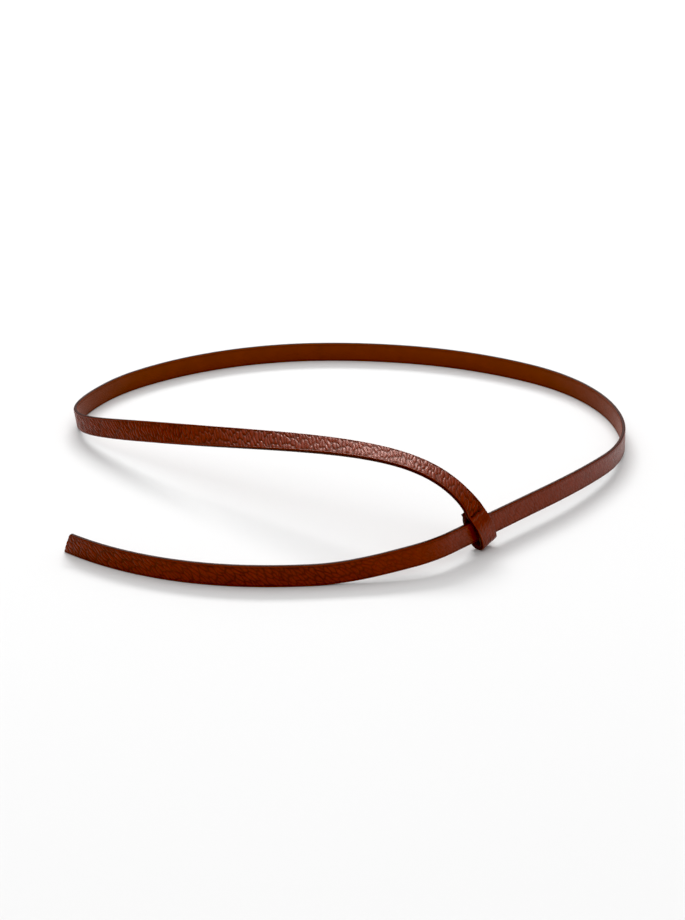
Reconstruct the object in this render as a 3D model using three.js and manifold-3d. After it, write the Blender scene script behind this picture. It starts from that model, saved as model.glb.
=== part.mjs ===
// A slim leather belt without a buckle. One end of the strap is folded round into a small
// loop, the other end passes through that loop and lies free as a tail.
// The belt stands on its long edge: +Z is up, the floor is z = 0, sizes are in millimetres.
//
// The strap is two strips of leather, glued back to back over a thin tape that stops it
// stretching. The strips run unbroken from the loop to the tip of the tail, and the tape
// stops just short of the loop's neck. They are divided here into four spans, because the
// strap flexes between them:
//   loop  the folded end, which slides along the strap
//   arm   the raised, twisting stretch between the loop and the ring
//   ring  the stretch round the waist, as far as the far side of the loop
//   tail  the free end past the loop, which swings
import * as THREE from "three";
import { NURBSCurve } from "three/addons/curves/NURBSCurve.js";
import { mergeVertices } from "three/addons/utils/BufferGeometryUtils.js";
import Module from "manifold-3d";

const wasm = await Module();
wasm.setup();

// --- section of the strap ---
const strapWidth = 12;
const strapThickness = 2.4;
const tapeWidth = 9;
const tapeThickness = 0.12;
const glueLine = 0.1;
const edgeChamfer = 0.4;
const spanGap = 0.3;
const flexGap = 0.8;

// --- where the strap passes through the loop ---
const loopX = 68.6;
const loopY = -116.35;
const loopHeading = 46.1;
const liftAtLoop = 5.82;
const leanAtLoop = 6;
const ringLiftRamp = 145;
const tailLiftRamp = 80;

// --- plan of the strap, outwards from the loop: straights, and arcs tangent to them ---
const ringBends = [
  { straight: 57 },
  { radius: 295, turn: 11.5 },
  { radius: 110, turn: 86.5 },
  { radius: 200, turn: 24 },
  { radius: 245, turn: 12 },
  { radius: 175, turn: 43.5 },
  { radius: 104, turn: 16 },
];
const tailBends = [
  { straight: 21 },
  { radius: 56, turn: -26 },
  { radius: 213, turn: -22.5 },
  { radius: 160, turn: -39 },
];
const tailHinge = 33.7;
const tipSlant = 4.5;
const tipSlantReach = 14;

// --- the raised arm: the strap's centre and its lean from upright, from ring to loop ---
const armLeaveRing = 23.5;
const armMeetLoop = 4;
const armPoints = [
  [-164.3, 38.95, 7.5],
  [-143.8, 15.45, 13.5],
  [-117.3, -6.55, 21],
  [-77.8, -34.05, 29.5],
  [-3.3, -82.05, 45.5],
  [37.2, -104.55, 45.5],
  [57.2, -114.55, 35],
];
const armLeans = [0, 0, -13, -6, 17, 45, 68, 82, 85, 78];

// --- the loop, in the plane across the strap that passes through it ---
const loopCant = 15;
const loopDrift = 0.125;
const neckAbove = 12.3;
const neckAhead = 1;
const neckPitch = 20;
const loopBends = [
  { straight: 7 },
  { radius: 14, turn: 20 },
  { radius: 36, turn: 10 },
  { straight: 1.2 },
  { radius: 3.6, turn: 80 },
  { straight: 0.6 },
  { radius: 2.6, turn: 90 },
  { straight: 13.4 },
  { radius: 5, turn: 24 },
  { straight: 1.8 },
  { radius: 2.9, turn: -58 },
];

// --- the saddle-stitched seam that closes the loop ---
const seamBelowNeck = 1.3;
const seamFromTurnedEnd = 2.1;
const stitchCount = 3;
const stitchPitch = 2.8;
const threadRadius = 0.28;
const threadClearance = 0.08;
const strandOffset = 0.34;
const holeRadius = 0.9;
const cornerReach = 0.3;

const stripStep = 7;
const armStep = 1.8;
const loopStep = 1;
const tapeShortOfNeck = 14;
const threadSteps = 160;

const halfWidth = strapWidth / 2;
const halfThickness = strapThickness / 2;
const rad = THREE.MathUtils.degToRad;
const vec = (x, y, z) => new THREE.Vector3(x, y, z);
const up = vec(0, 0, 1);

function leather(color, roughness) {
  return new THREE.MeshStandardMaterial({ color, roughness, metalness: 0 });
}

const grainLeather = () => leather(0x5a2110, 0.5);
const liningLeather = () => leather(0x6e3018, 0.6);
const stayTape = () => new THREE.MeshStandardMaterial({ color: 0xd8cdb8, roughness: 0.9 });
const waxedThread = () => new THREE.MeshStandardMaterial({ color: 0x3a120c, roughness: 0.55 });

// --- paths ---

function bendLength(bend) {
  return bend.straight ?? Math.abs(rad(bend.turn)) * bend.radius;
}

function chainLength(bends) {
  return bends.reduce((sum, bend) => sum + bendLength(bend), 0);
}

// Where a chain of bends has got to after a distance, starting at 0,0 and heading along +x.
// A positive turn goes anticlockwise.
function walkChain(bends, distance) {
  const place = { x: 0, y: 0, heading: 0 };
  let left = distance;
  for (const bend of bends) {
    const run = Math.min(left, bendLength(bend));
    const turned = bend.straight ? 0 : (Math.sign(bend.turn) * run) / bend.radius;
    const chord = turned === 0 ? run : (2 * run * Math.sin(turned / 2)) / turned;
    place.x += chord * Math.cos(place.heading + turned / 2);
    place.y += chord * Math.sin(place.heading + turned / 2);
    place.heading += turned;
    left -= run;
  }
  return place;
}

// A frame on the strap: "along" its length, "out" of its grain side, "edge" across its
// width towards the edge that is uppermost on the ring. edge x out = along.
function frame(centre, out, edge) {
  return { centre, out, edge, along: edge.clone().cross(out) };
}

// 1 where the strap passes the loop, falling smoothly to 0 where it stands on the floor.
function liftShare(s) {
  const straight = s > 0 ? ringBends[0].straight : tailBends[0].straight;
  const ramp = s > 0 ? ringLiftRamp : tailLiftRamp;
  const past = THREE.MathUtils.clamp((Math.abs(s) - straight) / ramp, 0, 1);
  return 0.5 * (1 + Math.cos(Math.PI * past));
}

// The frame at a distance s from the loop: positive round the ring, negative down the tail.
function strapFrame(s) {
  const place = walkChain(s < 0 ? tailBends : ringBends, Math.abs(s));
  const heading = rad(loopHeading) + place.heading;
  const lean = rad(leanAtLoop) * liftShare(s);
  const level = vec(Math.sin(heading), -Math.cos(heading), 0);
  const out = level.clone().multiplyScalar(Math.cos(lean)).addScaledVector(up, Math.sin(lean));
  const edge = up.clone().multiplyScalar(Math.cos(lean)).addScaledVector(level, -Math.sin(lean));
  const centre = vec(place.x, place.y, 0)
    .applyAxisAngle(up, rad(loopHeading))
    .multiplyScalar(s < 0 ? -1 : 1)
    .add(vec(loopX, loopY, liftAtLoop * liftShare(s)))
    .addScaledVector(edge, halfWidth);
  return frame(centre, out, edge);
}

// The loop is canted on the strap that it wraps: its top leans towards the tail.
function loopAxes() {
  const strap = strapFrame(0);
  const cant = rad(loopCant);
  const across = strap.along.clone().multiplyScalar(Math.cos(cant));
  across.addScaledVector(strap.edge, Math.sin(cant));
  const above = strap.edge.clone().multiplyScalar(Math.cos(cant));
  above.addScaledVector(strap.along, -Math.sin(cant));
  return { centre: strap.centre, ahead: strap.out, along: strap.along, across, above };
}

const loop = loopAxes();

// The frame at a distance round the loop, from the neck down its front, under the strap and
// up its back to the turned end. The arm holds the neck back, so the loop drifts along the strap
// in proportion to the depth below the neck.
function loopFrame(distance) {
  const place = walkChain(loopBends, distance);
  const start = Math.PI - rad(neckPitch);
  const heading = start + place.heading;
  const above = neckAbove + place.x * Math.cos(start) - place.y * Math.sin(start);
  const ahead = neckAhead + place.x * Math.sin(start) + place.y * Math.cos(start);
  const centre = loop.centre.clone();
  centre.addScaledVector(loop.above, above).addScaledVector(loop.ahead, ahead);
  centre.addScaledVector(loop.along, loopDrift * (neckAbove - above));
  const out = loop.above.clone().multiplyScalar(Math.sin(heading));
  out.addScaledVector(loop.ahead, -Math.cos(heading));
  return frame(centre, out, loop.across.clone());
}

function clampedCurve(points) {
  const degree = 3;
  const inner = points.length - degree;
  const knots = [0, 0, 0];
  for (let i = 0; i <= inner; i += 1) knots.push(i / inner);
  knots.push(1, 1, 1);
  return new NURBSCurve(degree, knots, points.map(([x, y, z]) => new THREE.Vector4(x, y, z, 1)));
}

// How far a strap lying along a direction, with its edge given, leans from upright.
function leanOf(along, edge) {
  const upright = up.clone().addScaledVector(along, -up.dot(along)).normalize();
  const level = along.clone().cross(upright);
  return Math.atan2(-edge.dot(level), edge.dot(upright));
}

const ringEnd = strapFrame(chainLength(ringBends));
const neck = loopFrame(0);
const armCurve = clampedCurve([
  ringEnd.centre.toArray(),
  ringEnd.centre.clone().addScaledVector(ringEnd.along, armLeaveRing).toArray(),
  ...armPoints,
  neck.centre.clone().addScaledVector(neck.along, -armMeetLoop).toArray(),
  neck.centre.toArray(),
]);
armCurve.arcLengthDivisions = 800;
const armLean = clampedCurve([...armLeans.map(rad), leanOf(neck.along, neck.edge)].map((a) => [a, 0, 0]));

// The frame at a distance along the arm, from the ring to the neck of the loop.
function armFrame(distance) {
  const t = armCurve.getUtoTmapping(0, distance);
  const along = armCurve.getTangent(t);
  const lean = armLean.getPoint(t).x;
  const upright = up.clone().addScaledVector(along, -up.dot(along)).normalize();
  const level = along.clone().cross(upright);
  const edge = upright.multiplyScalar(Math.cos(lean)).addScaledVector(level, -Math.sin(lean));
  return frame(armCurve.getPoint(t), along.clone().cross(edge), edge);
}

// --- solids ---

// A strip cut flat from its cross-section, then bent so that it follows the frames. The
// section's x is across the strap and its y is out of its grain side. With side -1 the strip
// is the mirror image, on the lining side, and its faces are turned round to face out again.
function bendStrip(section, side, from, to, step, frameAt) {
  const steps = Math.round((to - from) / step);
  const flat = new THREE.ExtrudeGeometry(section, { depth: to - from, steps, bevelEnabled: false });
  flat.deleteAttribute("normal");
  flat.deleteAttribute("uv");
  const strip = mergeVertices(flat);
  const position = strip.attributes.position;
  for (let i = 0; i < position.count; i += 1) {
    const x = position.getX(i);
    const at = frameAt(from + position.getZ(i), x);
    const point = at.centre.clone().addScaledVector(at.edge, x);
    point.addScaledVector(at.out, side * position.getY(i));
    position.setXYZ(i, point.x, point.y, point.z);
  }
  if (side < 0) strip.index.array.reverse();
  strip.computeVertexNormals();
  return strip;
}

function outline(points) {
  return new THREE.Shape(points.map(([x, y]) => new THREE.Vector2(x, y)));
}

// One leather strip: flat on its glued side, with its outer corners broken.
function leatherSection(middleGap) {
  return outline([
    [-halfWidth, middleGap],
    [halfWidth, middleGap],
    [halfWidth, halfThickness - edgeChamfer],
    [halfWidth - edgeChamfer, halfThickness],
    [edgeChamfer - halfWidth, halfThickness],
    [-halfWidth, halfThickness - edgeChamfer],
  ]);
}

function tapeSection() {
  const x = tapeWidth / 2;
  const y = tapeThickness / 2;
  return outline([[-x, -y], [x, -y], [x, y], [-x, y]]);
}

function named(name, geometry, material) {
  const mesh = new THREE.Mesh(geometry, material);
  mesh.name = name;
  return mesh;
}

// The three layers of one span, all bent along the same frames.
function strapSpan(name, from, to, tapeTo, step, frameAt) {
  const leatherStrip = leatherSection(tapeThickness / 2 + glueLine);
  const grain = bendStrip(leatherStrip, 1, from, to, step, frameAt);
  const lining = bendStrip(leatherStrip, -1, from, to, step, frameAt);
  const tape = bendStrip(tapeSection(), 1, from, tapeTo, step, frameAt);
  const span = new THREE.Group();
  span.add(named(`${name}_grain_leather`, grain, grainLeather()));
  span.add(named(`${name}_lining_leather`, lining, liningLeather()));
  span.add(named(`${name}_stay_tape`, tape, stayTape()));
  return span;
}

// The tail's tip is cut at a slant: its top corner stops short of its bottom corner.
function tailFrame(s, across) {
  const tip = -chainLength(tailBends);
  const nearTip = THREE.MathUtils.clamp(1 - (s - tip) / tipSlantReach, 0, 1);
  const height = across / strapWidth + 0.5;
  return strapFrame(s + tipSlant * nearTip * height);
}

function toSolid(geometry) {
  const bare = geometry.clone();
  bare.deleteAttribute("normal");
  bare.deleteAttribute("uv");
  const merged = mergeVertices(bare);
  const mesh = new wasm.Mesh({
    numProp: 3,
    vertProperties: new Float32Array(merged.attributes.position.array),
    triVerts: new Uint32Array(merged.index.array),
  });
  return new wasm.Manifold(mesh);
}

function toGeometry(solid) {
  const mesh = solid.getMesh();
  const geometry = new THREE.BufferGeometry();
  geometry.setAttribute("position", new THREE.BufferAttribute(mesh.vertProperties, 3));
  geometry.setIndex(new THREE.BufferAttribute(mesh.triVerts, 1));
  geometry.computeVertexNormals();
  return geometry;
}

// The seam crosses the loop's front layer, and then the turned end behind it.
const seamFront = loopFrame(seamBelowNeck);
const seamBack = loopFrame(chainLength(loopBends) - seamFromTurnedEnd);

// A point of the seam on one of the two layers: across the strap, above the layer's grain
// side, and down the loop from the line of the holes.
function seamPoint(layer, across, above, down) {
  const point = layer.centre.clone().addScaledVector(loop.across, across);
  point.addScaledVector(layer.out, above);
  return point.addScaledVector(layer.along, layer === seamFront ? down : -down);
}

function stitchPlaces() {
  return Array.from({ length: stitchCount + 1 }, (_, i) => (i - stitchCount / 2) * stitchPitch);
}

function stitchHole(across) {
  const front = seamPoint(seamFront, across, 0, 0);
  const back = seamPoint(seamBack, across, 0, 0);
  const through = back.clone().sub(front);
  const depth = through.length() + 4 * strapThickness;
  const hole = new THREE.CylinderGeometry(holeRadius, holeRadius, depth, 12);
  hole.applyQuaternion(new THREE.Quaternion().setFromUnitVectors(vec(0, 1, 0), through.normalize()));
  const middle = front.add(back).multiplyScalar(0.5);
  return hole.translate(middle.x, middle.y, middle.z);
}

// A leather layer of the loop, pierced by the holes of the seam.
function piercedLoopLayer(side) {
  const section = leatherSection(glueLine);
  const strip = bendStrip(section, side, spanGap, chainLength(loopBends), loopStep, loopFrame);
  return toGeometry(stitchPlaces().reduce(
    (solid, across) => solid.subtract(toSolid(stitchHole(across))),
    toSolid(strip),
  ));
}

// Saddle stitch: the two halves of one thread leave the first hole on opposite faces and
// change faces at every hole after it. The last hole hides one end, and the other end lies
// behind the turned end.
function seamThread() {
  const onFace = halfThickness + threadRadius + threadClearance;
  const inHole = halfThickness - threadRadius;
  const [first, ...later] = stitchPlaces();
  const last = later.at(-1);
  const otherLayer = (layer) => (layer === seamFront ? seamBack : seamFront);
  const halfThread = (startLayer, offset) => {
    let layer = startLayer;
    return later.flatMap((across) => {
      const entry = [
        seamPoint(layer, across - cornerReach, onFace, offset),
        seamPoint(layer, across, inHole, offset),
      ];
      if (across === last && layer === seamBack) return entry;
      layer = otherLayer(layer);
      const exit = [
        seamPoint(layer, across, inHole, offset),
        seamPoint(layer, across + cornerReach, onFace, offset),
      ];
      return [...entry, ...exit];
    });
  };
  const route = [
    ...halfThread(seamFront, strandOffset).reverse(),
    seamPoint(seamFront, first + cornerReach, onFace, strandOffset / 2),
    seamPoint(seamFront, first, inHole, 0),
    seamPoint(seamBack, first, inHole, 0),
    seamPoint(seamBack, first + cornerReach, onFace, -strandOffset / 2),
    ...halfThread(seamBack, -strandOffset),
  ];
  const circle = new THREE.Shape().absarc(0, 0, threadRadius, 0, 2 * Math.PI);
  const extrudePath = new THREE.CatmullRomCurve3(route, false, "centripetal");
  return new THREE.ExtrudeGeometry(circle, { steps: threadSteps, curveSegments: 3, extrudePath });
}

function loopSpan() {
  const span = new THREE.Group();
  span.add(named("loop_grain_leather", piercedLoopLayer(1), grainLeather()));
  span.add(named("loop_lining_leather", piercedLoopLayer(-1), liningLeather()));
  span.add(named("loop_seam_thread", seamThread(), waxedThread()));
  return span;
}

const ringFrom = flexGap / 2 - tailHinge;
const ringTo = chainLength(ringBends);
const tailFrom = -chainLength(tailBends);
const tailTo = -flexGap / 2 - tailHinge;
const armTo = armCurve.getLength();

const belt = new THREE.Group();
belt.add(strapSpan("ring", ringFrom, ringTo, ringTo, stripStep, strapFrame));
belt.add(strapSpan("tail", tailFrom, tailTo, tailTo, stripStep, tailFrame));
belt.add(strapSpan("arm", spanGap, armTo, armTo - tapeShortOfNeck, armStep, armFrame));
belt.add(loopSpan());

// The origin is the middle of the belt's footprint, on the floor.
const reach = new THREE.Box3().setFromObject(belt);
const middle = reach.getCenter(vec(0, 0, 0));
belt.position.set(-middle.x, -middle.y, -reach.min.z);

export default belt;
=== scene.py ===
import math

import bpy
import numpy as np
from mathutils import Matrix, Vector


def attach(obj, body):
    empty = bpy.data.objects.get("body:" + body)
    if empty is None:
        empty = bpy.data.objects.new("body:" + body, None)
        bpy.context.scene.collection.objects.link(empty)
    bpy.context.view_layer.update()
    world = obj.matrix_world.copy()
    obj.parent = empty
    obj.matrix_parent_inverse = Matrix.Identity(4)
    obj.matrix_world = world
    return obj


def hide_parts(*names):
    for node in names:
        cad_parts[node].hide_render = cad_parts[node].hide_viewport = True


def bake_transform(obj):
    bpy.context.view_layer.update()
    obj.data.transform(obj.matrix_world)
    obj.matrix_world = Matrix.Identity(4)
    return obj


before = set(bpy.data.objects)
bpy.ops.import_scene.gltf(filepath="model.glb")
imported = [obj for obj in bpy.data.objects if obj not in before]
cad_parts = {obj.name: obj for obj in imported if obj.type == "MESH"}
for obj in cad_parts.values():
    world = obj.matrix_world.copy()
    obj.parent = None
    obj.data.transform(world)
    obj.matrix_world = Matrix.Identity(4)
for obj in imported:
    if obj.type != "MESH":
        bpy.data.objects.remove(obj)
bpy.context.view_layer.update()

# A slim leather slip belt that stands on its edge. One end of the strap is folded into a stitched
# loop, and the other end is pulled through it. Dimensions are in millimetres, and the camera, the
# lights and the floor are in metres.
MM = 0.001
CENTIMETRE = 10

# --- camera ---
camera = bpy.data.objects.new("camera", bpy.data.cameras.new("camera"))
bpy.context.scene.collection.objects.link(camera)
camera.location = (-0.0028, -1.1086, 0.4936)
camera.rotation_euler = (math.radians(66), 0, 0)
camera.data.lens = 82.3
camera.data.sensor_width = 36
bpy.context.scene.camera = camera

# --- driving dimensions of the strap, as in the CAD part ---
STRAP_WIDTH = 12
STRAP_THICKNESS = 2.4
TAPE_WIDTH = 9
TAPE_THICKNESS = 0.12
GLUE_LINE = 0.1
LOOP_X = 68.6
LOOP_Y = -116.35
LOOP_HEADING = math.radians(46.1)
LIFT_AT_LOOP = 5.82
LEAN_AT_LOOP = math.radians(6)
RING_LIFT_RAMP = 145
TAIL_LIFT_RAMP = 80
# Each bend is a straight (its length, 0) or an arc (its radius, the degrees that it turns).
RING_BENDS = [(57, 0), (295, 11.5), (110, 86.5), (200, 24), (245, 12), (175, 43.5), (104, 16)]
TAIL_BENDS = [(21, 0), (56, -26), (213, -22.5), (160, -39)]
TIP_SLANT = 4.5
TIP_SLANT_REACH = 14
TIP_CORNER_RADIUS = 1.5
TAPE_SHORT_OF_TIP = 6
ARM_LEAVE_RING = 23.5
ARM_MEET_LOOP = 4
ARM_POINTS = [
    (-164.3, 38.95, 7.5),
    (-143.8, 15.45, 13.5),
    (-117.3, -6.55, 21),
    (-77.8, -34.05, 29.5),
    (-3.3, -82.05, 45.5),
    (37.2, -104.55, 45.5),
    (57.2, -114.55, 35),
]
ARM_LEANS = [0, 0, -13, -6, 17, 45, 68, 82, 85, 78]
TAPE_SHORT_OF_NECK = 14
LOOP_CANT = math.radians(15)
LOOP_DRIFT = 0.125
NECK_ABOVE = 12.3
NECK_AHEAD = 1
NECK_PITCH = math.radians(20)
LOOP_BENDS = [
    (7, 0), (14, 20), (36, 10), (1.2, 0), (3.6, 80), (0.6, 0),
    (2.6, 90), (13.4, 0), (5, 24), (1.8, 0), (2.9, -58),
]
SEAM_BELOW_NECK = 1.3
SEAM_FROM_TURNED_END = 2.1
STITCH_COUNT = 3
STITCH_PITCH = 2.8
THREAD_RADIUS = 0.28
STRAND_OFFSET = 0.34

HALF_WIDTH = STRAP_WIDTH / 2
HALF_THICKNESS = STRAP_THICKNESS / 2
UP = np.array([0.0, 0.0, 1.0])

# --- two distances along the tail ---
# The places on the tail's centre line at these distances past the loop are worked out below.
TAIL_BLEND = (22, 46)


# --- paths ---

def bend_length(bend):
    size, turn = bend
    return abs(math.radians(turn)) * size if turn else size


def chain_length(bends):
    return sum(bend_length(bend) for bend in bends)


RING_LENGTH = chain_length(RING_BENDS)
TAIL_LENGTH = chain_length(TAIL_BENDS)
LOOP_LENGTH = chain_length(LOOP_BENDS)


def walk(bends, distance):
    """Where a chain of bends has got to after each distance: x, y and heading, from 0, 0 along +x."""
    x = np.zeros_like(distance)
    y = np.zeros_like(distance)
    heading = np.zeros_like(distance)
    left = distance.copy()
    for bend in bends:
        run = np.minimum(left, bend_length(bend))
        turned = np.sign(bend[1]) * run / bend[0]
        chord = run * np.sinc(turned / (2 * np.pi))
        x += chord * np.cos(heading + turned / 2)
        y += chord * np.sin(heading + turned / 2)
        heading += turned
        left = left - run
    return x, y, heading


def scaled(weights, vectors):
    """Each vector times its own weight."""
    return weights[:, None] * vectors


def unit(vectors):
    return vectors / np.linalg.norm(vectors, axis=1, keepdims=True)


def lift_share(s):
    """1 on the straight at the loop, where the strap is lifted, and 0 where it stands on the floor."""
    straight = np.where(s > 0, RING_BENDS[0][0], TAIL_BENDS[0][0])
    ramp = np.where(s > 0, RING_LIFT_RAMP, TAIL_LIFT_RAMP)
    past = np.clip((np.abs(s) - straight) / ramp, 0, 1)
    return 0.5 * (1 + np.cos(np.pi * past))


def strap_frame(s):
    """Centre, out and edge of the strap at distances from the loop: positive round the ring."""
    ring = walk(RING_BENDS, np.maximum(s, 0))
    tail = walk(TAIL_BENDS, np.maximum(-s, 0))
    x, y, turned = (np.where(s < 0, t, r) for r, t in zip(ring, tail))
    heading = LOOP_HEADING + turned
    sign = np.where(s < 0, -1, 1)
    share = lift_share(s)
    lean = LEAN_AT_LOOP * share
    level = np.stack([np.sin(heading), -np.cos(heading), np.zeros_like(s)], 1)
    out = scaled(np.cos(lean), level) + scaled(np.sin(lean), UP[None])
    edge = scaled(np.cos(lean), UP[None]) - scaled(np.sin(lean), level)
    cos_h, sin_h = math.cos(LOOP_HEADING), math.sin(LOOP_HEADING)
    centre = np.stack([
        LOOP_X + sign * (x * cos_h - y * sin_h),
        LOOP_Y + sign * (x * sin_h + y * cos_h),
        LIFT_AT_LOOP * share,
    ], 1) + HALF_WIDTH * edge
    return centre, out, edge


def frame_at_one(frame_at, distance):
    """One centre, out and edge, for a single distance along a span."""
    return [part[0] for part in frame_at(np.array([float(distance)]))]


def loop_axes():
    """The loop's own axes: its centre, and along, ahead of, above and across the strap inside it."""
    centre, ahead, edge = frame_at_one(strap_frame, 0)
    along = np.cross(edge, ahead)
    above = edge * math.cos(LOOP_CANT) - along * math.sin(LOOP_CANT)
    across = along * math.cos(LOOP_CANT) + edge * math.sin(LOOP_CANT)
    return centre, along, ahead, above, across


LOOP_CENTRE, STRAP_ALONG, LOOP_AHEAD, LOOP_ABOVE, LOOP_ACROSS = loop_axes()


def loop_frame(distance):
    """Centre, out and edge of the loop's strip, from its neck down its front and up its back."""
    x, y, turned = walk(LOOP_BENDS, distance)
    start = math.pi - NECK_PITCH
    above = NECK_ABOVE + x * math.cos(start) - y * math.sin(start)
    ahead = NECK_AHEAD + x * math.sin(start) + y * math.cos(start)
    centre = LOOP_CENTRE + scaled(above, LOOP_ABOVE[None]) + scaled(ahead, LOOP_AHEAD[None])
    centre = centre + scaled(LOOP_DRIFT * (NECK_ABOVE - above), STRAP_ALONG[None])
    heading = start + turned
    out = scaled(np.sin(heading), LOOP_ABOVE[None]) - scaled(np.cos(heading), LOOP_AHEAD[None])
    return centre, out, np.repeat(LOOP_ACROSS[None], len(distance), 0)


def clamped_spline(points, t):
    """A cubic B-spline with clamped ends and even knots, at parameters from 0 to 1."""
    points = np.asarray(points, float)
    degree = 3
    inner = np.linspace(0, 1, len(points) - degree + 1)
    knots = np.concatenate([np.zeros(degree), inner, np.ones(degree)])
    span = np.clip(np.searchsorted(knots, t, side="right") - 1, degree, len(points) - 1)
    d = [points[span - degree + i] for i in range(degree + 1)]
    for r in range(1, degree + 1):
        for i in range(degree, r - 1, -1):
            low = knots[span - degree + i]
            high = knots[span + 1 + i - r]
            share = ((t - low) / (high - low))[:, None]
            d[i] = (1 - share) * d[i - 1] + share * d[i]
    return d[degree]


def arm_controls():
    """The control points and leans of the arm, which leaves the ring and meets the neck smoothly."""
    ring_centre, ring_out, ring_edge = frame_at_one(strap_frame, RING_LENGTH)
    neck_centre, neck_out, neck_edge = frame_at_one(loop_frame, 0)
    ring_along = np.cross(ring_edge, ring_out)
    neck_along = np.cross(neck_edge, neck_out)
    points = [
        ring_centre,
        ring_centre + ARM_LEAVE_RING * ring_along,
        *[np.array(point) for point in ARM_POINTS],
        neck_centre - ARM_MEET_LOOP * neck_along,
        neck_centre,
    ]
    upright = UP - neck_along * neck_along[2]
    upright /= np.linalg.norm(upright)
    level = np.cross(neck_along, upright)
    end_lean = math.atan2(-neck_edge @ level, neck_edge @ upright)
    leans = [math.radians(lean) for lean in ARM_LEANS] + [end_lean]
    return np.array(points), np.array(leans)[:, None]


ARM_CONTROLS, ARM_LEAN_CONTROLS = arm_controls()
ARM_SAMPLES = 4001
ARM_T = np.linspace(0, 1, ARM_SAMPLES)
ARM_CURVE = clamped_spline(ARM_CONTROLS, ARM_T)
ARM_S = np.concatenate([[0], np.cumsum(np.linalg.norm(np.diff(ARM_CURVE, axis=0), axis=1))])
ARM_LENGTH = ARM_S[-1]
# How far round the whole strap the arm and the loop begin.
ARM_OFFSET = RING_LENGTH
LOOP_OFFSET = RING_LENGTH + ARM_LENGTH


def arm_frame(distance):
    """Centre, out and edge of the raised arm, from the ring to the neck of the loop."""
    t = np.interp(np.clip(distance, 0, ARM_LENGTH), ARM_S, ARM_T)
    centre = clamped_spline(ARM_CONTROLS, t)
    small = 1e-4
    before = clamped_spline(ARM_CONTROLS, np.clip(t - small, 0, 1))
    after = clamped_spline(ARM_CONTROLS, np.clip(t + small, 0, 1))
    along = unit(after - before)
    lean = clamped_spline(ARM_LEAN_CONTROLS, t)[:, 0]
    upright = unit(UP[None] - scaled(along[:, 2], along))
    level = np.cross(along, upright)
    edge = scaled(np.cos(lean), upright) - scaled(np.sin(lean), level)
    return centre, np.cross(along, edge), edge


# --- noise and ramps ---

# Large, unrelated factors make the sine's last digits look random.
HASH_U = 127.1
HASH_V = 311.7
HASH_SEED = 74.7
HASH_GAIN = 43758.5453


def scatter(u, v, seed):
    """A repeatable number from 0 to 1 for each whole-number pair."""
    value = np.sin(u * HASH_U + v * HASH_V + seed * HASH_SEED) * HASH_GAIN
    return value - np.floor(value)


def smooth(t):
    """A smooth step from 0 to 1."""
    t = np.clip(t, 0, 1)
    return t * t * (3 - 2 * t)


def rise(x, start, length):
    """0 up to the start, and then smoothly up to 1 over the length."""
    return smooth((x - start) / length)


def fall(x, end, length):
    """1 until the length before the end, and then smoothly down to 0."""
    return smooth((end - x) / length)


def bell(x, width):
    """1 at 0, and nearly 0 from twice the width to either side."""
    return np.exp(-((x / width) ** 2))


def waves(u, v, seed):
    """Smooth noise from -1 to 1 with features about one unit across."""
    iu, iv = np.floor(u), np.floor(v)
    fu, fv = smooth(u - iu), smooth(v - iv)
    low = scatter(iu, iv, seed) * (1 - fu) + scatter(iu + 1, iv, seed) * fu
    high = scatter(iu, iv + 1, seed) * (1 - fu) + scatter(iu + 1, iv + 1, seed) * fu
    return 2 * (low * (1 - fv) + high * fv) - 1


def ripples(s, b, along, across, seed):
    """Smooth noise from -1 to 1 with features of these lengths along and across the strap."""
    return waves(s / along, b / across, seed)


# How far a cell's point strays from the middle of its cell, as a share of the cell.
JITTER_U = 0.8
JITTER_V = 0.7
FAR = 9.0


def cells(u, v, seed):
    """Distances to the nearest and second nearest points of a jittered grid of staggered rows."""
    iv = np.floor(v)
    nearest = np.full(u.shape, FAR)
    second = np.full(u.shape, FAR)
    for dv in (-1, 0, 1):
        cv = iv + dv
        stagger = scatter(cv, 3 * cv, seed + 2)
        iu = np.floor(u - stagger)
        for du in (-1, 0, 1):
            cu = iu + du
            pu = cu + stagger + 0.5 + JITTER_U * (scatter(cu, cv, seed) - 0.5)
            pv = cv + 0.5 + JITTER_V * (scatter(cu, cv, seed + 1) - 0.5)
            gap = np.hypot(pu - u, pv - v)
            second = np.minimum(second, np.maximum(nearest, gap))
            nearest = np.minimum(nearest, gap)
    return nearest, second


# --- relief of the leather, in strap coordinates: s along it, b across it ---

# A pebble's length and breadth, the slant of its rows and the seed of its pattern.
RING_PEBBLES = {"slant": math.radians(57), "long": 6.8, "short": 1.75, "seed": 19}
TAIL_PEBBLES = {"slant": math.radians(40), "long": 6.2, "short": 1.9, "seed": 11}
LINING_PEBBLES = {"slant": math.radians(57), "long": 1.3, "short": 0.8, "seed": 71}
# The width of a crease as a share of a pebble, and how far a pebble falls off towards its rim.
CREASE_WIDTH = 0.42
DOME = 0.35
# How far the pebbles' rows waver: over a few millimetres, and over the strap's whole width.
FINE_WARP = 0.4
BROAD_WARP = 0.9
# The warp across the strap is read from another stretch of the noise.
WARP_SHIFT = 108


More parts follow.
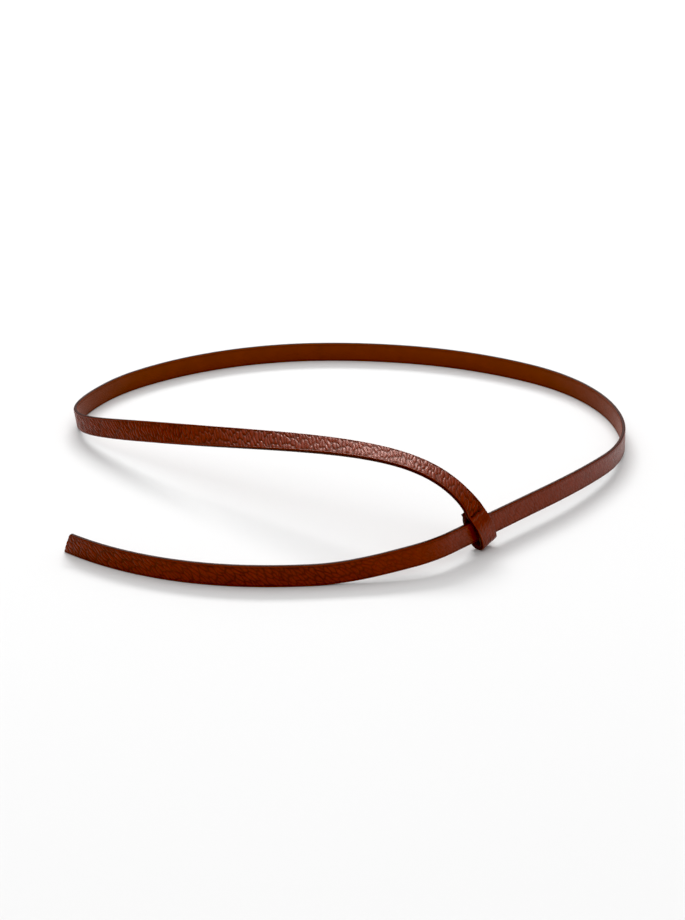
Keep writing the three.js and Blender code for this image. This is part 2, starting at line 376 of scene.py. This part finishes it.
def pebbles(s, b, slant, long, short, seed):
    """Height from 0 in the creases to 1 on the ridges, which lie aslant across the strap."""
    s_warp = FINE_WARP * ripples(s, b, along=3.1, across=3.1, seed=seed + 5)
    s_bend = BROAD_WARP * ripples(s, b, along=23, across=12, seed=seed + 7)
    b_warp = FINE_WARP * ripples(s + WARP_SHIFT, b, along=2.7, across=2.7, seed=seed + 6)
    b_bend = BROAD_WARP * ripples(s, b, along=19, across=15, seed=seed + 8)
    bent_s = s + s_warp + s_bend
    bent_b = b + b_warp + b_bend
    u = (bent_s * math.cos(slant) - bent_b * math.sin(slant)) / long
    v = (bent_s * math.sin(slant) + bent_b * math.cos(slant)) / short
    nearest, second = cells(u, v, seed)
    raised = smooth((second - nearest) / CREASE_WIDTH)
    return raised * (1 - DOME * np.clip(nearest, 0, 1) ** 2)


# A line is pressed into the leather beside each cut edge, and the grain fades out across it.
LINE_PLACE = 4.95
LINE_WIDTH = 0.22
GRAIN_EDGE = 5.75


def edge_line(b):
    """1 in the pressed line beside each cut edge."""
    return bell(np.abs(b) - LINE_PLACE, LINE_WIDTH)


# The grain is drawn nearly flat on the stretch that lies near the loop.
DRAWN_FROM = -95
DRAWN_TO = 190
DRAWN_FADE = 60
DRAWN_FLAT = 0.7

# The tail's pebbles and the ring's pass into each other over this length, at the loop.
GRAIN_CHANGE = 12
GRAIN_DEPTH = 0.38
GRAIN_EDGE_FADE = 1.1
GRAIN_UNEVEN = 0.15
GRAIN_LINE_DEPTH = 0.1
GRAIN_LINE_SHADE = 0.7
GRAIN_PORE = 0.7
GRAIN_PORE_DEPTH = 0.012
CREASE_SHADE = 0.8
CREASE_SHARPNESS = 1.6


def grain_relief(s, b):
    """Height in millimetres and the shade painted in the creases and pressed lines, on the grain side."""
    on_tail = fall(s, GRAIN_CHANGE / 2, GRAIN_CHANGE)
    height = on_tail * pebbles(s, b, **TAIL_PEBBLES) + (1 - on_tail) * pebbles(s, b, **RING_PEBBLES)
    calm = fall(np.abs(b), GRAIN_EDGE, GRAIN_EDGE_FADE)
    calm = calm * (1 - GRAIN_UNEVEN + GRAIN_UNEVEN * ripples(s, b, along=9, across=6, seed=31))
    calm = calm * (1 - DRAWN_FLAT * rise(s, DRAWN_FROM, DRAWN_FADE) * fall(s, DRAWN_TO, DRAWN_FADE))
    line = edge_line(b)
    pores = GRAIN_PORE_DEPTH * ripples(s, b, GRAIN_PORE, GRAIN_PORE, seed=3)
    relief = GRAIN_DEPTH * (height - 1) * calm - GRAIN_LINE_DEPTH * line + pores
    painted_shade = CREASE_SHADE * (1 - height) ** CREASE_SHARPNESS * calm + GRAIN_LINE_SHADE * line
    return relief, np.clip(painted_shade, 0, 1)


LINING_DEPTH = 0.05
LINING_EDGE_FADE = 0.8
LINING_LINE_DEPTH = 0.08
LINING_PORE = 0.9
LINING_PORE_DEPTH = 0.01
LINING_SHADE = 0.6


def lining_relief(s, b):
    """Height and the shade painted in the creases on the lining side, whose grain is much finer."""
    height = pebbles(s, b, **LINING_PEBBLES)
    calm = fall(np.abs(b), GRAIN_EDGE, LINING_EDGE_FADE)
    line = edge_line(b)
    pores = LINING_PORE_DEPTH * ripples(s, b, LINING_PORE, LINING_PORE, seed=8)
    relief = LINING_DEPTH * (height - 1) * calm - LINING_LINE_DEPTH * line + pores
    painted_shade = LINING_SHADE * ((1 - height) * calm + line)
    return relief, np.clip(painted_shade, 0, 1)


def stitch_places():
    """Where across the strap the holes of a row of stitches are."""
    return (np.arange(STITCH_COUNT + 1) - STITCH_COUNT / 2) * STITCH_PITCH


# The seam sinks the leather in a groove across the strap, with a pit at each hole.
GROOVE_DEPTH = 0.2
GROOVE_WIDTH = 0.55
GROOVE_EDGE = 5.9
GROOVE_EDGE_FADE = 0.8
PIT_DEPTH = 0.4
PIT_LENGTH = 0.4
PIT_WIDTH = 0.42


def seam_dent(d, b, seam):
    """How far the pull of the stitches sinks the leather round the seam."""
    groove = GROOVE_DEPTH * bell(d - seam, GROOVE_WIDTH) * fall(np.abs(b), GROOVE_EDGE, GROOVE_EDGE_FADE)
    pits = sum(bell(d - seam, PIT_LENGTH) * bell(b - place, PIT_WIDTH) for place in stitch_places())
    return groove + PIT_DEPTH * np.clip(pits, 0, 1)


WRINKLE_SPACING = 0.55
WRINKLE_LENGTH = 6.5
WRINKLE_WAVER = 0.6
FINE_WRINKLE_SPACING = 0.3
FINE_WRINKLE_LENGTH = 3.5
FINE_WRINKLE_SHARE = 0.6
WRINKLE_FADE = 6


def loop_wrinkles(d, b):
    """Wrinkles that run round the loop, and fade out at the neck and at the turned end."""
    waver = WRINKLE_WAVER * ripples(d, b, along=5, across=3, seed=44)
    broad = waves(b / WRINKLE_SPACING + waver, d / WRINKLE_LENGTH, seed=41)
    fine = waves(b / FINE_WRINKLE_SPACING, d / FINE_WRINKLE_LENGTH, seed=42)
    tight = rise(d, start=1.5, length=3) * fall(d, LOOP_LENGTH - WRINKLE_FADE, WRINKLE_FADE)
    return (broad + FINE_WRINKLE_SHARE * fine) * tight


LOOP_GRAIN_FLAT = 0.75
WRINKLE_DEPTH = 0.06
WRINKLE_SHADE = 0.35
SWELL_HEIGHT = 0.22
SWELL_BELOW_SEAM = 1.5
SWELL_WIDTH = 0.9
DENT_SHADE = 0.9


def loop_relief(d, b):
    """The folded end: the grain is drawn out smooth round the loop, in fine wrinkles, with shade painted
    into them and the seam.
    """
    height, grain_shade = grain_relief(LOOP_OFFSET + d, b)
    calm = 1 - LOOP_GRAIN_FLAT * rise(d, start=0.5, length=2.5)
    wrinkle = loop_wrinkles(d, b)
    dent = seam_dent(d, b, SEAM_BELOW_NECK) + seam_dent(d, b, LOOP_LENGTH - SEAM_FROM_TURNED_END)
    swell = SWELL_HEIGHT * bell(d - SEAM_BELOW_NECK - SWELL_BELOW_SEAM, SWELL_WIDTH)
    relief = height * calm + WRINKLE_DEPTH * wrinkle - dent + swell
    painted_shade = grain_shade * calm + np.clip(-WRINKLE_SHADE * wrinkle, 0, 1) + DENT_SHADE * dent
    return relief, np.clip(painted_shade, 0, 1)


WORN_FLAT = 0.5
# The lining inside the loop is painted this dark with shade, since little light gets into the loop.
LOOP_INSIDE_SHADE = 0.85


def loop_lining_relief(d, b):
    """The lining is worn flatter inside the loop, where the strap rubs, and painted dark there with shade.
    """
    height, painted_shade = lining_relief(LOOP_OFFSET + d, b)
    return WORN_FLAT * height, LOOP_INSIDE_SHADE + (1 - LOOP_INSIDE_SHADE) * painted_shade


# --- meshes ---

def outward(quads, points):
    """Whether the faces' own order makes them look outwards."""
    a, b, c = (points[quads[:, corner]] for corner in range(3))
    return np.einsum("ij,ij->", np.cross(b - a, c - a), a - points.mean(0)) >= 0


def add_attribute(mesh, name, kind, domain, field, values):
    attribute = mesh.attributes.new(name, kind, domain)
    attribute.data.foreach_set(field, values)


def closed_mesh(name, rings, coordinates, painted_shades, smooth_columns):
    """A mesh from rings of points, one ring per row, closed round and capped at both ends."""
    rows, columns = rings.shape[:2]
    index = np.arange(rows * columns).reshape(rows, columns)
    right = np.roll(index, -1, axis=1)
    quads = np.stack([index[:-1], right[:-1], right[1:], index[1:]], -1).reshape(-1, 4)
    points = rings.reshape(-1, 3) * MM
    if outward(quads, points):
        caps = [index[0][::-1].tolist(), index[-1].tolist()]
    else:
        quads = quads[:, ::-1]
        caps = [index[0].tolist(), index[-1][::-1].tolist()]
    mesh = bpy.data.meshes.new(name)
    mesh.from_pydata(points.tolist(), [], quads.tolist() + caps)
    smooth_faces = np.tile(smooth_columns, rows - 1).tolist() + [False, False]
    mesh.polygons.foreach_set("use_smooth", smooth_faces)
    at_end = np.zeros(rows * columns, bool)
    at_end[index[[0, -1]]] = True
    pairs = np.array([edge.vertices[:] for edge in mesh.edges])
    places = (coordinates / CENTIMETRE).astype(np.float32).ravel()
    add_attribute(mesh, "strap_place", "FLOAT_VECTOR", "POINT", "vector", places)
    # How much shade is painted on each point, in the leather's creases and dents.
    add_attribute(mesh, "painted_shade", "FLOAT", "POINT", "value", painted_shades.astype(np.float32).ravel())
    add_attribute(mesh, "sharp_edge", "BOOLEAN", "EDGE", "value", at_end[pairs].all(1))
    mesh.validate()
    obj = bpy.data.objects.new(name, mesh)
    bpy.context.scene.collection.objects.link(obj)
    return obj


def rounding(share):
    """How far a quarter circle of radius 1 falls away, at shares of its radius in from its edge."""
    return 1 - np.sqrt(1 - (1 - np.clip(share, 0, 1)) ** 2)


def tip_shape(s, b):
    """Near the tip the strap is cut aslant and its top corner is rounded."""
    from_tip = s + TAIL_LENGTH
    near = np.clip(1 - from_tip / TIP_SLANT_REACH, 0, 1)
    moved = s + TIP_SLANT * near * (b / STRAP_WIDTH + 0.5)
    ceiling = HALF_WIDTH - TIP_CORNER_RADIUS * rounding(from_tip / TIP_CORNER_RADIUS)
    squeezed = np.where(b > 0, b * ceiling / HALF_WIDTH, b)
    return moved, squeezed


def laid_out(start, end, step, across):
    """Grids of s and b: a row at each step along the span, and a column at each place across it."""
    rows = max(2, int(round((end - start) / step)) + 1)
    s = np.repeat(np.linspace(start, end, rows)[:, None], len(across), 1)
    b = np.repeat(across[None], rows, 0)
    return s, b


def strip_mesh(name, frame_at, s, b, n, painted_shades, smooth_columns, offset=0.0, tip=False):
    """A strip drawn flat, with n its height off the middle of the strap, and bent along its span."""
    coordinates = np.stack([s + offset, b, n], -1)
    if tip:
        s, b = tip_shape(s, b)
    centre, out, edge = frame_at(s.ravel())
    points = centre + scaled(b.ravel(), edge) + scaled(n.ravel(), out)
    return closed_mesh(name, points.reshape(s.shape + (3,)), coordinates, painted_shades, smooth_columns)


# The edge paint makes up the last of the strap's width, past the leather's cut edge.
PAINT_DEPTH = 0.22
CUT_EDGE = HALF_WIDTH - PAINT_DEPTH
LEATHER_STEP = 0.33
LEATHER_COLUMNS = 40
CORNER_REACH = 0.45
CORNER_DROP = 0.36


def leather_profile():
    """Across a leather strip: its face from edge to edge with rounded corners, then its flat back."""
    face = np.linspace(-CUT_EDGE, CUT_EDGE, LEATHER_COLUMNS)
    height = HALF_THICKNESS - CORNER_DROP * rounding((CUT_EDGE - np.abs(face)) / CORNER_REACH)
    back = TAPE_THICKNESS / 2 + GLUE_LINE
    across = np.concatenate([face, [CUT_EDGE, -CUT_EDGE]])
    above = np.concatenate([height, [back, back]])
    skin = np.concatenate([np.ones(LEATHER_COLUMNS), [0, 0]])
    return across, above, skin


GRAIN_SIDE = 1
LINING_SIDE = -1


def leather_strip(name, frame_at, start, end, side, relief, offset=0.0, tip=False, step=LEATHER_STEP):
    """One leather layer of a span, on the grain side or the lining side of the strap."""
    across, above, skin = leather_profile()
    s, b = laid_out(start, end, step, across)
    height, painted_shade = relief(s + offset, b)
    n = side * (above + skin * height)
    smooth_columns = np.arange(len(across)) < LEATHER_COLUMNS - 1
    return strip_mesh(name, frame_at, s, b, n, painted_shade * skin, smooth_columns, offset, tip)


TAPE_STEP = 1.5


def tape_strip(name, frame_at, start, end, offset=0.0):
    """The stay tape of a span, a plain rectangle across."""
    across = np.array([-1, 1, 1, -1]) * TAPE_WIDTH / 2
    above = np.array([-1, -1, 1, 1]) * TAPE_THICKNESS / 2
    s, b = laid_out(start, end, TAPE_STEP, across)
    n = np.repeat(above[None], len(s), 0)
    return strip_mesh(name, frame_at, s, b, n, np.zeros(s.shape), np.zeros(4, bool), offset)


# The bead of edge paint: its bulge, its flat back and its height, and how uneven its bulge is.
BEAD_COLUMNS = 9
BEAD_BULGE = 0.21
BEAD_FULLNESS = 0.7
BEAD_BACK = 0.05
BEAD_BACK_HEIGHT = 0.7
BEAD_HEIGHT = HALF_THICKNESS - 0.32
BEAD_UNEVEN = 0.02
BEAD_WAVE = 2.3
BEAD_SHIFT = 9
BEAD_STEP = 0.8


def paint_bead(name, frame_at, outline, offset=0.0, tip=False):
    """Edge paint: a bead over the cut edge, along an outline of (s, b) points beside that edge."""
    tangent = unit(np.gradient(outline, axis=0))
    outward_s, outward_b = tangent[:, 1:], -tangent[:, :1]
    angles = np.linspace(-0.5, 0.5, BEAD_COLUMNS) * math.pi
    reach = np.concatenate([BEAD_BULGE * np.cos(angles) ** BEAD_FULLNESS, [-BEAD_BACK, -BEAD_BACK]])
    height = np.concatenate([BEAD_HEIGHT * np.sin(angles), [BEAD_BACK_HEIGHT, -BEAD_BACK_HEIGHT]])
    uneven = BEAD_UNEVEN * waves(outline[:, :1] / BEAD_WAVE, outline[:, 1:] / BEAD_WAVE + BEAD_SHIFT, 90)
    out = reach + uneven * (reach > BEAD_BACK)
    s = outline[:, :1] + outward_s * out
    b = outline[:, 1:] + outward_b * out
    n = np.repeat(height[None], len(outline), 0)
    smooth_columns = np.arange(len(reach)) < BEAD_COLUMNS - 1
    return strip_mesh(name, frame_at, s, b, n, np.zeros(s.shape), smooth_columns, offset, tip)


def straight(start, end):
    """Points along a straight line, about a bead step apart."""
    start, end = np.array(start, float), np.array(end, float)
    count = max(2, int(np.linalg.norm(end - start) / BEAD_STEP) + 1)
    return start + (end - start) * np.linspace(0, 1, count)[:, None]


def around(*corners):
    """Straight lines from corner to corner."""
    lines = [straight(start, end) for start, end in zip(corners, corners[1:])]
    return np.concatenate([lines[0], *[line[1:] for line in lines[1:]]])


# --- the seam's thread ---

# The thread slants into each hole over the entry run, and is pressed this share of its radius into
# the leather between the holes.
ENTRY_RUN = 0.3
PRESSED_IN = 0.65
THREAD_SIDES = 10
THREAD_STEP = 0.12
THREAD_LAY = 1.1
THREAD_WAIST = 0.84
PLY_BULGE = 0.2
SMOOTHING_ROUNDS = 3


def seam_route():
    """The thread's centre line: two strands that change faces at each hole."""
    front = frame_at_one(loop_frame, SEAM_BELOW_NECK)
    back = frame_at_one(loop_frame, LOOP_LENGTH - SEAM_FROM_TURNED_END)
    on_face = HALF_THICKNESS + THREAD_RADIUS * (1 - PRESSED_IN)
    in_hole = HALF_THICKNESS - 2 * THREAD_RADIUS

    def at(layer, across, above, down):
        centre, out, edge = layer
        along = np.cross(edge, out)
        return centre + across * edge + above * out + (down if layer is front else -down) * along

    first, *later = stitch_places()

    def strand(layer, offset):
        points = []
        for across in later:
            points += [at(layer, across - ENTRY_RUN, on_face, offset), at(layer, across, in_hole, offset)]
            if across == later[-1] and layer is back:
                break
            layer = back if layer is front else front
            points += [at(layer, across, in_hole, offset), at(layer, across + ENTRY_RUN, on_face, offset)]
        return points

    return np.array([
        *strand(front, STRAND_OFFSET)[::-1],
        at(front, first + ENTRY_RUN, on_face, STRAND_OFFSET / 2),
        at(front, first, in_hole, 0),
        at(back, first, in_hole, 0),
        at(back, first + ENTRY_RUN, on_face, -STRAND_OFFSET / 2),
        *strand(back, -STRAND_OFFSET),
    ])


def seam_thread():
    """A two-ply thread along the seam's route."""
    route = seam_route()
    distance = np.concatenate([[0], np.cumsum(np.linalg.norm(np.diff(route, axis=0), axis=1))])
    length = distance[-1]
    count = int(length / THREAD_STEP)
    even = np.linspace(0, length, count)
    path = np.stack([np.interp(even, distance, route[:, axis]) for axis in range(3)], 1)
    for _ in range(SMOOTHING_ROUNDS):
        path[1:-1] = (path[:-2] + 2 * path[1:-1] + path[2:]) / 4
    along = unit(np.gradient(path, axis=0))
    never_along = np.array([0.3, 0.5, 0.8])
    side = unit(np.cross(along, never_along[None]))
    other = np.cross(along, side)
    turns = np.arange(THREAD_SIDES) / THREAD_SIDES * 2 * math.pi
    twist = (even / THREAD_LAY * 2 * math.pi)[:, None]
    radius = THREAD_RADIUS * (THREAD_WAIST + PLY_BULGE * np.abs(np.cos(turns[None] - twist)))
    rings = path[:, None] + (radius * np.cos(turns))[..., None] * side[:, None]
    rings = rings + (radius * np.sin(turns))[..., None] * other[:, None]
    return closed_mesh("seam_thread", rings, rings, np.zeros(rings.shape[:2]), np.ones(THREAD_SIDES, bool))


# --- materials ---

# The sockets of the Mix node that belong to colours.
MIX_FACTOR = 0
MIX_FIRST = 6
MIX_SECOND = 7
MIX_RESULT = 2
RAMP_FROM = 0.3
RAMP_TO = 0.7


class Nodes:
    """A material's node tree. A method that adds a colour or pattern node returns its output."""

    def __init__(self, name):
        self.material = bpy.data.materials.new(name)
        self.material.use_nodes = True
        self.tree = self.material.node_tree
        self.shader = self.tree.nodes["Principled BSDF"]

    def add(self, kind, values):
        node = self.tree.nodes.new(kind)
        for socket, value in values.items():
            node.inputs[socket].default_value = value
        return node

    def link(self, source, target):
        self.tree.links.new(source, target)

    def shade(self, values):
        for socket, value in values.items():
            self.shader.inputs[socket].default_value = value

    def attribute(self, name, output):
        node = self.add("ShaderNodeAttribute", {})
        node.attribute_name = name
        return node.outputs[output]

    def noise(self, place, scale, detail):
        node = self.add("ShaderNodeTexNoise", {"Scale": scale, "Detail": detail})
        self.link(place, node.inputs["Vector"])
        return node.outputs["Fac"]

    def weave(self, place, scale, distortion):
        node = self.add("ShaderNodeTexWave", {"Scale": scale, "Distortion": distortion})
        self.link(place, node.inputs["Vector"])
        return node.outputs["Fac"]

    def ramp(self, source, low, high):
        node = self.add("ShaderNodeValToRGB", {})
        first, second = node.color_ramp.elements
        first.position, second.position = RAMP_FROM, RAMP_TO
        first.color, second.color = (*low, 1), (*high, 1)
        self.link(source, node.inputs["Fac"])
        return node.outputs["Color"]

    def mix(self, factor, first, second):
        node = self.add("ShaderNodeMix", {})
        node.data_type = "RGBA"
        node.inputs[MIX_SECOND].default_value = (*second, 1)
        self.link(factor, node.inputs[MIX_FACTOR])
        self.link(first, node.inputs[MIX_FIRST])
        return node.outputs[MIX_RESULT]

    def bump(self, height, strength, distance):
        node = self.add("ShaderNodeBump", {"Strength": strength, "Distance": distance})
        self.link(height, node.inputs["Height"])
        self.link(node.outputs["Normal"], self.shader.inputs["Normal"])


def grey(value):
    return (value, value, value)


def leather(name, dark, light, crease_shade_colour, rough, tint):
    """Dyed leather: cloudy colour, painted shade in the duller creases, a fine pore bump and uneven sheen.
    """
    m = Nodes(name)
    place = m.attribute("strap_place", "Vector")
    painted_shade = m.attribute("painted_shade", "Fac")
    dye = m.ramp(m.noise(place, scale=1.1, detail=4.0), dark, light)
    # Shade is painted into the creases by mixing the crease colour into the dye.
    m.link(m.mix(painted_shade, dye, crease_shade_colour), m.shader.inputs["Base Color"])
    uneven = 0.07
    duller = 0.3
    finish = m.ramp(m.noise(place, scale=6.0, detail=3.0), grey(rough - uneven), grey(rough + uneven))
    m.link(m.mix(painted_shade, finish, grey(rough + duller)), m.shader.inputs["Roughness"])
    m.shade({
        "Specular IOR Level": 0.4,
        "Specular Tint": (*tint, 1),
        "Sheen Weight": 0.06,
        "Sheen Roughness": 0.35,
        "Sheen Tint": (1, 0.45, 0.35, 1),
    })
    m.bump(m.noise(place, scale=42.0, detail=4.0), strength=0.12, distance=0.00006)
    return m.material


def edge_paint():
    """Dark waxy paint, a little dented."""
    m = Nodes("edge_paint")
    place = m.attribute("strap_place", "Vector")
    cloud = m.noise(place, scale=3.0, detail=3.0)
    m.link(m.ramp(cloud, (0.018, 0.002, 0.0008), (0.036, 0.004, 0.0015)), m.shader.inputs["Base Color"])
    m.shade({"Roughness": 0.5, "Specular IOR Level": 0.1, "Specular Tint": (1, 0.5, 0.45, 1)})
    m.bump(m.noise(place, scale=12.0, detail=3.0), strength=0.3, distance=0.0001)
    return m.material


def tape_cloth():
    """Undyed woven cloth."""
    m = Nodes("tape_cloth")
    weave = m.weave(m.attribute("strap_place", "Vector"), scale=18.0, distortion=0.6)
    m.link(m.ramp(weave, (0.48, 0.42, 0.32), (0.72, 0.66, 0.54)), m.shader.inputs["Base Color"])
    m.shade({"Roughness": 0.9})
    m.bump(weave, strength=0.4, distance=0.00005)
    return m.material


def waxed_thread():
    """Dark waxed thread."""
    m = Nodes("waxed_thread")
    cloud = m.noise(m.attribute("strap_place", "Vector"), scale=20.0, detail=3.0)
    m.link(m.ramp(cloud, (0.014, 0.0015, 0.0005), (0.045, 0.006, 0.002)), m.shader.inputs["Base Color"])
    m.shade({"Roughness": 0.5, "Specular IOR Level": 0.15})
    m.bump(cloud, strength=0.3, distance=0.00005)
    return m.material


# A leather's crease colour is the shade painted into its creases.
GRAIN = leather(
    "grain_leather", dark=(0.12, 0.0088, 0.0011), light=(0.157, 0.0122, 0.0014),
    crease_shade_colour=(0.014, 0.0006, 0.0), rough=0.3, tint=(1, 0.34, 0.2),
)
LINING = leather(
    "lining_leather", dark=(0.148, 0.0148, 0.0012), light=(0.18, 0.0187, 0.0015),
    crease_shade_colour=(0.05, 0.004, 0.0), rough=0.42, tint=(1, 0.5, 0.2),
)
PAINT = edge_paint()
TAPE = tape_cloth()
THREAD = waxed_thread()


# --- the belt ---

def finish_piece(obj, material, nodes=()):
    """Gives a piece its material and slot, and hides the CAD nodes that it stands in for."""
    obj.data.materials.append(material)
    if nodes:
        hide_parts(*nodes)
    return obj


def grain_piece(span, frame_at, start, end, relief=grain_relief, **options):
    obj = leather_strip(f"{span}_grain", frame_at, start, end, GRAIN_SIDE, relief, **options)
    return finish_piece(obj, GRAIN, [f"{span}_grain_leather"])


def lining_piece(span, frame_at, start, end, relief=lining_relief, **options):
    obj = leather_strip(f"{span}_lining", frame_at, start, end, LINING_SIDE, relief, **options)
    return finish_piece(obj, LINING, [f"{span}_lining_leather"])


def tape_piece(span, frame_at, start, end, offset=0.0):
    obj = tape_strip(f"{span}_tape", frame_at, start, end, offset)
    return finish_piece(obj, TAPE, [f"{span}_stay_tape"])


def paint_piece(name, frame_at, outline, offset=0.0, tip=False):
    obj = paint_bead(name, frame_at, outline, offset, tip)
    return finish_piece(obj, PAINT)


TAIL_START = -TAIL_BENDS[0][0]
LOOP_STEP = 0.2


def ring_pieces():
    start, end = TAIL_START, RING_LENGTH
    upper = around((end, CUT_EDGE), (start, CUT_EDGE))
    lower = around((start, -CUT_EDGE), (end, -CUT_EDGE))
    return [
        grain_piece("ring", strap_frame, start, end),
        lining_piece("ring", strap_frame, start, end),
        tape_piece("ring", strap_frame, start, end),
        paint_piece("ring_upper_edge_paint", strap_frame, upper),
        paint_piece("ring_lower_edge_paint", strap_frame, lower),
    ]


def tail_pieces():
    tip, end = -TAIL_LENGTH, TAIL_START
    outline = around((end, CUT_EDGE), (tip, CUT_EDGE), (tip, -CUT_EDGE), (end, -CUT_EDGE))
    return [
        grain_piece("tail", strap_frame, tip, end, tip=True),
        lining_piece("tail", strap_frame, tip, end, tip=True),
        tape_piece("tail", strap_frame, tip + TAPE_SHORT_OF_TIP, end),
        paint_piece("tail_edge_paint", strap_frame, outline, tip=True),
    ]


def arm_pieces():
    end, offset = ARM_LENGTH, ARM_OFFSET
    upper = around((end, CUT_EDGE), (0, CUT_EDGE))
    lower = around((0, -CUT_EDGE), (end, -CUT_EDGE))
    return [
        grain_piece("arm", arm_frame, 0, end, offset=offset),
        lining_piece("arm", arm_frame, 0, end, offset=offset),
        tape_piece("arm", arm_frame, 0, end - TAPE_SHORT_OF_NECK, offset),
        paint_piece("arm_upper_edge_paint", arm_frame, upper, offset),
        paint_piece("arm_lower_edge_paint", arm_frame, lower, offset),
    ]


def loop_pieces():
    end = LOOP_LENGTH
    outline = around((0, -CUT_EDGE), (end, -CUT_EDGE), (end, CUT_EDGE), (0, CUT_EDGE))
    return [
        grain_piece("loop", loop_frame, 0, end, loop_relief, step=LOOP_STEP),
        lining_piece("loop", loop_frame, 0, end, loop_lining_relief, step=LOOP_STEP),
        paint_piece("loop_edge_paint", loop_frame, outline, LOOP_OFFSET),
        finish_piece(seam_thread(), THREAD, ["loop_seam_thread"]),
    ]


def past_loop(distance):
    """The place in metres on the tail's centre line at a distance past the loop."""
    centre, _, _ = frame_at_one(strap_frame, -distance)
    return tuple(centre * MM)


for piece in ring_pieces():
    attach(piece, "strap")
for piece in tail_pieces():
    past_loop(TAIL_BLEND[0])
    past_loop(TAIL_BLEND[1])
    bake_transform(piece)
for piece in arm_pieces():
    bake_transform(piece)
for piece in loop_pieces():
    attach(piece, "loop")


# --- studio ---

def area_light(name, location, size, power):
    """A rectangular light that faces the middle of the belt."""
    lamp = bpy.data.lights.new(name, "AREA")
    lamp.shape = "RECTANGLE"
    lamp.size, lamp.size_y = size
    lamp.energy = power
    obj = bpy.data.objects.new(name, lamp)
    obj.location = location
    obj.rotation_euler = (-Vector(location)).to_track_quat("-Z", "Y").to_euler()
    bpy.context.scene.collection.objects.link(obj)


def paper_floor():
    """A wide sheet of pale paper."""
    half = 4.0
    mesh = bpy.data.meshes.new("floor")
    corners = [(-half, -half, 0), (half, -half, 0), (half, half, 0), (-half, half, 0)]
    mesh.from_pydata(corners, [], [(0, 1, 2, 3)])
    floor = bpy.data.objects.new("floor", mesh)
    bpy.context.scene.collection.objects.link(floor)
    m = Nodes("floor_paper")
    m.shade({"Base Color": (0.76, 0.76, 0.76, 1), "Roughness": 0.9, "Specular IOR Level": 0.0})
    mesh.materials.append(m.material)


def studio_world():
    world = bpy.data.worlds.new("studio")
    world.use_nodes = True
    background = world.node_tree.nodes["Background"]
    background.inputs["Color"].default_value = (1, 1, 1, 1)
    background.inputs["Strength"].default_value = 0.38
    bpy.context.scene.world = world


paper_floor()
studio_world()
area_light("key", location=(-0.35, 3.42, 2.88), size=(2.8, 0.8), power=146)
area_light("overhead", location=(-0.4, 1.4, 3.8), size=(6.0, 4.0), power=94)
area_light("front", location=(0.3, -2.4, 3.4), size=(3.0, 3.0), power=42)

# A raised black level, most of all in blue, takes the white room's haze off the dark leather.
view = bpy.context.scene.view_settings
view.view_transform = "Standard"
view.use_curve_mapping = True
view.curve_mapping.black_level = (0.004, 0.0065, 0.0095)
